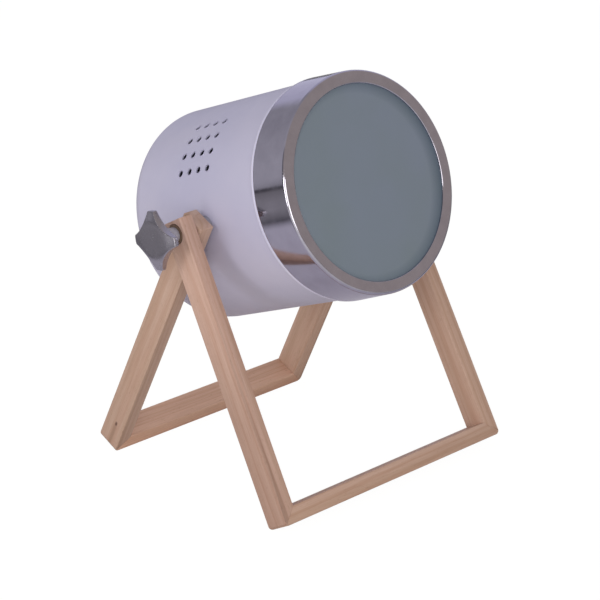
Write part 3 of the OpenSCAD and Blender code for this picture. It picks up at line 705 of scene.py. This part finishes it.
def star_radius(angle):
    """Radius of the star at an angle from the middle of a lobe."""
    pitch = math.pi / 4
    reach = pitch - math.asin(LOBE_END / 2 / KNOB_R)
    far = (KNOB_R ** 2 - WAIST_R ** 2) / (2 * (KNOB_R * math.cos(reach) - WAIST_R))
    off = (angle % (2 * pitch)) - pitch
    inside = (far - WAIST_R) ** 2 - (far * math.sin(off)) ** 2
    return KNOB_R if inside <= 0 else min(KNOB_R, far * math.cos(off) - math.sqrt(inside))


SPOKES = 360
sharp = [star_radius(2 * math.pi * k / SPOKES) for k in range(SPOKES)]
outline = [(sharp[k - 1] + 2 * sharp[k] + sharp[(k + 1) % SPOKES]) / 4 for k in range(SPOKES)]
print("star from", round(min(outline), 2), "to", round(max(outline), 2), "mm")

# %% [markdown]
# The knob is built of rings that turn from the round hub into the star and follow its outline
# inwards over the face, so that every edge gets a round of its own.

# %% Knob as rings that follow the outline


def face_height(r):
    """Height of the knob's face: flat, a soft bend, then a slope to the lobe's end."""
    slope = FACE_DROP / (KNOB_R - FLAT_R)
    past = r - FLAT_R
    if past <= -FACE_BEND:
        return KNOB_LEN
    if past < FACE_BEND:
        return KNOB_LEN - slope * (past + FACE_BEND) ** 2 / (4 * FACE_BEND)
    return KNOB_LEN - slope * past


def back_height(r):
    """Height of the knob's back at a radius, along its profile."""
    for (r0, z0), (r1, z1) in zip(back_profile, back_profile[1:]):
        if r <= r1:
            return z0 + (z1 - z0) * (r - r0) / (r1 - r0)
    return back_profile[-1][1]


def star_rings():
    """Closed rings of (radius, height) from the bore over the hub, the back and the rim to the face."""
    soft, heel, hub_end, bore_r = 0.9, 0.6, 12.4, 3.2
    rings = [[(r, 0.0)] * SPOKES for r in (bore_r, 4.8)]
    rings.append([(5.2, back_height(5.2) + 0.3)] * SPOKES)
    for r in (5.5, 5.8, 6.2, 6.8, 7.4, 8.2, 9.2, 10.2, 11.2, hub_end):
        rings.append([(r, back_height(r))] * SPOKES)
    for share in (0.5, 1.0):
        reached = [hub_end + (r - heel - hub_end) * share for r in outline]
        rings.append([(r, back_height(r)) for r in reached])
    for k in range(1, 5):
        a = math.pi / 2 * k / 4
        out, rise = heel * math.sin(a), heel - heel * math.cos(a)
        rings.append([(r - heel + out, back_height(r - heel) + rise) for r in outline])
    for k in range(6):
        a = math.pi / 2 * k / 5
        out, rise = soft * math.cos(a), soft * math.sin(a)
        rings.append([(r - soft + out, face_height(r - soft) - soft + rise) for r in outline])
    for share in (0.97, 0.93, 0.88, 0.82, 0.76, 0.7, 0.62, 0.54, 0.45, 0.3, 0.15, 0.05):
        rings.append([((r - soft) * share, face_height((r - soft) * share)) for r in outline])
    return rings


def knob_star(side):
    """Skins the rings and closes both ends."""
    rings, points, faces = star_rings(), [], []
    for ring in rings:
        for k, (r, z) in enumerate(ring):
            a = 2 * math.pi * k / SPOKES
            points.append(Vector((r * math.cos(a), r * math.sin(a), z)) * MM)
    for j in range(len(rings) - 1):
        for k in range(SPOKES):
            n = (k + 1) % SPOKES
            faces.append((j * SPOKES + k, j * SPOKES + n, (j + 1) * SPOKES + n, (j + 1) * SPOKES + k))
    faces.append(tuple(range(SPOKES)))
    faces.append(tuple((len(rings) - 1) * SPOKES + k for k in range(SPOKES)))
    data = bpy.data.meshes.new("star")
    data.from_pydata(points, [], faces)
    data.transform(Matrix.Translation((0, 0, KNOB_BASE * MM)) @ Matrix.Rotation(side * KNOB_TURN, 4, "Z"))
    return data


for side, word in ((-1, "left"), (1, "right")):
    place_mesh("knob_star_" + word, knob_star(side), knob_axes(side), knob_grey, word + "_knob",
               "silver_grey", "knob_" + word, crease=60)

# %% [markdown]
# The hub gets a lighter copy of the knob's grey, painted light for the bright light it catches. A thin
# sleeve carries that lighter copy.

# %% Sleeve of the hub
sleeve_section = [(5.0, 0.0), (5.3, 0.0), (5.45, 0.15), (5.7, 3.0), (6.3, 6.0), (6.95, 8.4), (6.6, 8.5),
                  (5.0, 8.5)]
for side, word in ((-1, "left"), (1, "right")):
    hub_axes = knob_axes(side) @ Matrix.Translation((0, 0, KNOB_BASE * MM))
    place_mesh("knob_hub_" + word, turned_ring(sleeve_section, hub_painted_light, 96), hub_axes, hub_painted_light,
               word + "_knob", "silver_grey", crease=60)

# %% [markdown]
# ## Wooden bars
# Each bar is sawn from a square block by planes, as a joiner would do it: the mitre, the top end,
# and a rounded outer corner at the foot. The bars are made upright, with the pivot at the middle.

# %% Saw a bar
BAR_W, BAR_T, LEG_BLOCK, SPARE, CUT_STEPS = 12.0, 20.0, 280, 20, 6


def saw(work, spot, normal, near=1e-5):
    """Cuts away what lies beyond a plane and closes the cut."""
    everything = work.verts[:] + work.edges[:] + work.faces[:]
    made = bmesh.ops.bisect_plane(work, geom=everything, dist=near, plane_co=spot, plane_no=normal,
                                  clear_outer=True)
    rim = [e for e in made["geom_cut"] if isinstance(e, bmesh.types.BMEdge)]
    if rim:
        bmesh.ops.edgenet_fill(work, edges=rim)


def sawn_block(side, outer, splay, top, foot_round):
    """A leg for side -1 or 1, both drawn on the right, and the crossbar for side 0. Also its mitres."""
    lean = math.atan(splay / LEG_LEN)
    corner = Vector((outer + splay, 0, -LEG_LEN))
    slope = (math.pi / 2 - lean) / 2
    work = bmesh.new()
    bmesh.ops.create_cube(work, size=1)
    if side:
        bmesh.ops.scale(work, vec=(BAR_W, BAR_T, LEG_BLOCK), verts=work.verts)
        bmesh.ops.translate(work, vec=(-BAR_W / 2, 0, LEG_BLOCK / 2 - SPARE), verts=work.verts)
        lay = Matrix.Translation(corner) @ Matrix.Rotation(-lean, 4, "Y")
        bmesh.ops.transform(work, matrix=lay, verts=work.verts)
        saw(work, (0, 0, top), (0, 0, 1))
        ends = [(corner, Vector((-math.sin(slope), 0, -math.cos(slope))), 1)]
    else:
        bmesh.ops.scale(work, vec=(2 * corner.x + SPARE, BAR_T, BAR_W), verts=work.verts)
        bmesh.ops.translate(work, vec=(0, 0, -LEG_LEN + BAR_W / 2), verts=work.verts)
        ends = [(Vector((s * corner.x, 0, corner.z)), Vector((s * math.sin(slope), 0, math.cos(slope))), s)
                for s in (1, -1)]
    for spot, normal, s in ends:
        saw(work, spot, normal)
        middle = corner + Vector((-foot_round * (1 + math.sin(lean)) / math.cos(lean), 0, foot_round))
        middle.x *= s
        for k in range(CUT_STEPS):
            a = lean + (-math.pi / 2 - lean) * (k + 0.5) / CUT_STEPS
            out = Vector((s * math.cos(a), 0, math.sin(a)))
            saw(work, middle + out * foot_round, out)
    bmesh.ops.dissolve_degenerate(work, dist=1e-4, edges=work.edges)
    bmesh.ops.recalc_face_normals(work, faces=work.faces)
    return work, [normal for spot, normal, s in ends]


print("saw ready, bars of", BAR_W, "x", BAR_T, "mm")

# %% [markdown]
# The edges are eased by a bevel whose width follows a weight on each edge: the long edges get most
# of a millimetre, those round the foot all of it, and the glued mitre only a touch, which leaves the
# fine line of the joint.

# %% Say how much each edge is eased
EASE_MITRE, EASE_TOP, EASE_FOOT, EASE_LONG = 0.25, 0.5, 1.0, 0.7


def ease_of(edge, side, mitres):
    """The share of the full easing that an edge gets."""
    a, b = (face.normal for face in edge.link_faces)
    if abs(a.y) < 0.5 and abs(b.y) < 0.5 and a.angle(b) < math.radians(30):
        return 0.0
    if any(abs(n.dot(mitre)) > 0.999 for n in (a, b) for mitre in mitres):
        return EASE_MITRE
    if side and (a.z > 0.99 or b.z > 0.99):
        return EASE_TOP
    return EASE_FOOT if min(v.co.z for v in edge.verts) < -LEG_LEN + 1 else EASE_LONG


def bar_mesh(side, *sizes):
    """A sawn bar with a weight for the bevel on every edge, mirrored for the left side."""
    work, mitres = sawn_block(side, *sizes)
    weight = work.edges.layers.float.new("bevel_weight_edge")
    for edge in work.edges:
        if len(edge.link_faces) == 2:
            edge[weight] = ease_of(edge, side, mitres)
    if side < 0:
        bmesh.ops.scale(work, vec=(-1, 1, 1), verts=work.verts)
        bmesh.ops.reverse_faces(work, faces=work.faces)
    data = bpy.data.meshes.new("bar")
    work.to_mesh(data)
    work.free()
    return data


print("easing from", EASE_MITRE, "to", EASE_FOOT, "mm")

# %% [markdown]
# Then come the bore for the stud and, in the front legs, the washer's recess.

# %% Ease and bore


def ease(data, cutters):
    """Bevels a bar by its weights and bores it, each cutter (place, radius, length) in millimetres."""
    carrier = bpy.data.objects.new("carrier", data)
    bpy.context.scene.collection.objects.link(carrier)
    bevel = carrier.modifiers.new("ease", "BEVEL")
    bevel.width, bevel.segments, bevel.limit_method = 1.0, 3, "WEIGHT"
    bevel.use_clamp_overlap = False
    bevel.miter_outer = "MITER_ARC"
    helpers = []
    for spot, radius, length in cutters:
        tool = bpy.data.meshes.new("tool")
        work = bmesh.new()
        lay = Matrix.Translation(spot) @ Matrix.Rotation(math.pi / 2, 4, "Y")
        bmesh.ops.create_cone(work, cap_ends=True, segments=64, radius1=radius, radius2=radius, depth=length,
                              matrix=lay)
        work.to_mesh(tool)
        work.free()
        helper = bpy.data.objects.new("tool", tool)
        bpy.context.scene.collection.objects.link(helper)
        bore = carrier.modifiers.new("bore", "BOOLEAN")
        bore.operation, bore.solver, bore.object = "DIFFERENCE", "EXACT", helper
        helpers.append(helper)
    bpy.context.view_layer.update()
    made = bpy.data.meshes.new_from_object(carrier.evaluated_get(bpy.context.evaluated_depsgraph_get()))
    carrier.modifiers.clear()
    for used in helpers + [carrier]:
        bpy.data.objects.remove(used)
    return made


print("easing and boring ready")

# %% [markdown]
# Each frame leans to its own side of the pivot. A last cut at the table's height gives the sanded
# flat that the frame stands on.

# %% Build both frames
STUD_BORE_R, BORE_LEN = 3.08, 60
RECESS_R, RECESS_DEPTH, RECESS_TOOL = 7.6, 1.6, 12
# lean's side, outer face at the pivot, splay, top above the pivot, round of the foot
frames = {"front": (-1, 108.2, FRONT_SPLAY, 9.6, 3.2), "rear": (1, 95.2, REAR_SPLAY, 7.8, 4.6)}
for word, (lay, outer, *sizes) in frames.items():
    to_lamp = Matrix.Translation(PIVOT) @ Matrix.Rotation(lay * LEG_LEAN, 4, "X") @ Matrix.Scale(MM, 4)
    for side, part in ((-1, "leg_left"), (1, "leg_right"), (0, "crossbar")):
        bores = [(Vector((side * outer, 0, 0)), STUD_BORE_R, BORE_LEN)] if side else []
        if side and lay < 0:
            recess = side * (outer - RECESS_DEPTH + RECESS_TOOL / 2)
            bores.append((Vector((recess, 0, 0)), RECESS_R, RECESS_TOOL))
        data = ease(bar_mesh(side, outer, *sizes), bores)
        data.transform(to_lamp)
        work = bmesh.new()
        work.from_mesh(data)
        saw(work, (0, 0, 0), (0, 0, -1), 1e-7)
        work.to_mesh(data)
        work.free()
        node = word + "_" + part
        place_mesh(node + "_sawn", data, Matrix.Identity(4), beech[node], "stand_" + word, "beech", node,
                   crease=32)

# %% [markdown]
# ## Finishes on the CAD nodes
# A node whose shape is right keeps its mesh and only gets its finish.

# %% Give the nodes their finishes
finishes = {
    "drum_shell": enamel, "bezel_ring": chrome, "neck_band": rubber, "lens_glass": frosted,
    "lens_gasket": rubber, "lens_wire": zinc, "holder_bracket": zinc, "bracket_screws": zinc,
    "holder_nipple": brass, "nipple_nut": brass, "lampholder": phenolic, "lampholder_shell": brass,
    "lampholder_contact": brass, "bulb_cap": bulb_metal, "bulb_globe": opal, "cord_gland": nylon,
    "gland_nut": nylon, "terminal_block": phenolic, "terminal_screws": brass, "holder_leads": sleeve,
}
for side in ("_left", "_right"):
    finishes.update({"pivot_insert" + side: zinc, "pivot_spacer" + side: spacer_shadow_tone, "knob" + side: knob_grey,
                     "knob_stud" + side: zinc, "knob_washer" + side: fibre, "leg_washer" + side: fibre})
finishes.update(beech)
for name, material in finishes.items():
    data = nodes[name].data
    data.materials.clear()
    data.materials.append(material)
print("nodes with a finish:", len(finishes), "of", len(nodes))

# %% [markdown]
# ## Studio
# A plain white table and a white surround. Where the camera sees them they are pure white, apart
# from the soft shadow on the table. In reflections the table is bright near the lamp, dark from about
# half a metre and paler beyond, and bright all the way towards the camera, and the room behind it is
# dim: that gives chrome its contrast. Two large soft lamps and the surround give the light.

# %% Table
FLOOR_FAR, FLOOR_HALF, TO_CAMERA = 4.0, 6, (-0.5, -0.87, 0)


def make_floor():
    """Matt white. Reflections see rings of grey in it, and the camera almost pure white."""
    material = bpy.data.materials.new("matt_white_table")
    material.use_nodes = True
    tree = material.node_tree
    tree.nodes.clear()
    path = add(tree, "ShaderNodeLightPath")
    spot = add(tree, "ShaderNodeTexCoord").outputs["Object"]
    away = remap(tree, calc_vector(tree, "LENGTH", spot), 0.0, FLOOR_FAR, 0.0, 1.0)
    before = calc_vector(tree, "DOT_PRODUCT", spot, TO_CAMERA)
    rings = ramp(tree, away, (0.10, "#e9e6f7"), (0.125, "#75737c"), (0.145, "#9a98a0"), (0.2, "#b8b6be"),
                 (0.82, "#b4b2ba"), (1.0, "#69676f"))
    mirrored = mix(tree, "MIX", remap(tree, before, 0.28, 0.36, 0.0, 1.0), rings, linear("#f8f8fc"))
    paint = mix(tree, "MIX", path.outputs["Is Glossy Ray"], linear("#e2ddd0"), mirrored)
    matt = add(tree, "ShaderNodeBsdfDiffuse", Color=paint)
    white = add(tree, "ShaderNodeEmission", Color=(1, 1, 1, 1), Strength=1.07)
    share = calc(tree, "MULTIPLY", path.outputs["Is Camera Ray"], 0.91)
    both = add(tree, "ShaderNodeMixShader", i0=share, i1=matt.outputs[0], i2=white.outputs[0])
    add(tree, "ShaderNodeOutputMaterial", Surface=both.outputs[0])
    return material


corners = [(x * FLOOR_HALF, y * FLOOR_HALF, 0) for x, y in ((-1, -1), (1, -1), (1, 1), (-1, 1))]
floor_data = bpy.data.meshes.new("table_top")
floor_data.from_pydata(corners, [], [(0, 1, 2, 3)])
floor_data.materials.append(make_floor())
table_top = bpy.data.objects.new("table_top", floor_data)
bpy.context.scene.collection.objects.link(table_top)
print("table reaches", FLOOR_HALF, "m each way")

# %% [markdown]
# The surround is white for the camera, and gives a soft light that weakens overhead. Mirrors see a
# dim room instead, whose grey changes with the direction.

# %% Surround
world = bpy.data.worlds.new("studio")
bpy.context.scene.world = world
world.use_nodes = True
surround = world.node_tree
surround.nodes.clear()
rays = add(surround, "ShaderNodeLightPath")
shown = calc(surround, "MAXIMUM", rays.outputs["Is Camera Ray"], rays.outputs["Is Transmission Ray"])
looking = add(surround, "ShaderNodeTexCoord").outputs["Generated"]
way = add(surround, "ShaderNodeSeparateXYZ", i0=looking).outputs


def fade(axis, start, end, before, after):
    """One grey turning to another as the direction's part on an axis goes from start to end."""
    return mix(surround, "MIX", remap(surround, way[axis], start, end, 0.0, 1.0), before, after)


behind = fade(0, -0.7, 0.0, linear("#c1bfc8"), linear("#a5a3ad"))
behind = fade(0, 0.18, 0.32, behind, linear("#cccae2"))
behind = fade(0, -0.71, -0.63, linear("#74727a"), behind)
mirrored = fade(1, -0.2, 0.3, linear("#b3a9a5"), behind)
overhead = remap(surround, way[2], 0.1, 0.9, 0.79, 0.42)
room = add(surround, "ShaderNodeMix", {"data_type": "FLOAT"}, i0=rays.outputs["Is Glossy Ray"],
           i2=overhead, i3=1.0).outputs[0]
tint = mix(surround, "MIX", rays.outputs["Is Glossy Ray"], linear("#fffdfb"), mirrored)
soft = add(surround, "ShaderNodeBackground", Color=tint, Strength=room)
bright = add(surround, "ShaderNodeBackground", Color=(1, 1, 1, 1), Strength=1.0)
mixed = add(surround, "ShaderNodeMixShader", i0=shown, i1=soft.outputs[0], i2=bright.outputs[0])
add(surround, "ShaderNodeOutputWorld", Surface=mixed.outputs[0])
print("surround ready")

# %% [markdown]
# A narrow soft lamp from the left throws the front leg's shadow on the drum. A broad one from the
# camera's side fills in.

# %% Lamps


def soft_lamp(name, azimuth, elevation, distance, width, height, watts):
    """An area lamp that looks at the pivot, from angles in degrees and a distance in metres."""
    data = bpy.data.lights.new(name, "AREA")
    data.shape, data.size, data.size_y = "RECTANGLE", width, height
    data.energy = watts
    lamp = bpy.data.objects.new(name, data)
    away = direction(math.radians(azimuth), math.radians(elevation))
    aim = away.to_track_quat("Z", "Y").to_matrix().to_4x4()
    lamp.matrix_world = Matrix.Translation(PIVOT + away * distance) @ aim
    bpy.context.scene.collection.objects.link(lamp)


soft_lamp("side", azimuth=-90, elevation=12, distance=1.8, width=0.35, height=0.8, watts=6.2)
soft_lamp("front", azimuth=-42, elevation=15, distance=1.5, width=0.8, height=0.9, watts=6.2)

# %% [markdown]
# ## Finish
# Standard view keeps a colour as it is written.

# %% Colour view
bpy.context.scene.view_settings.view_transform = "Standard"
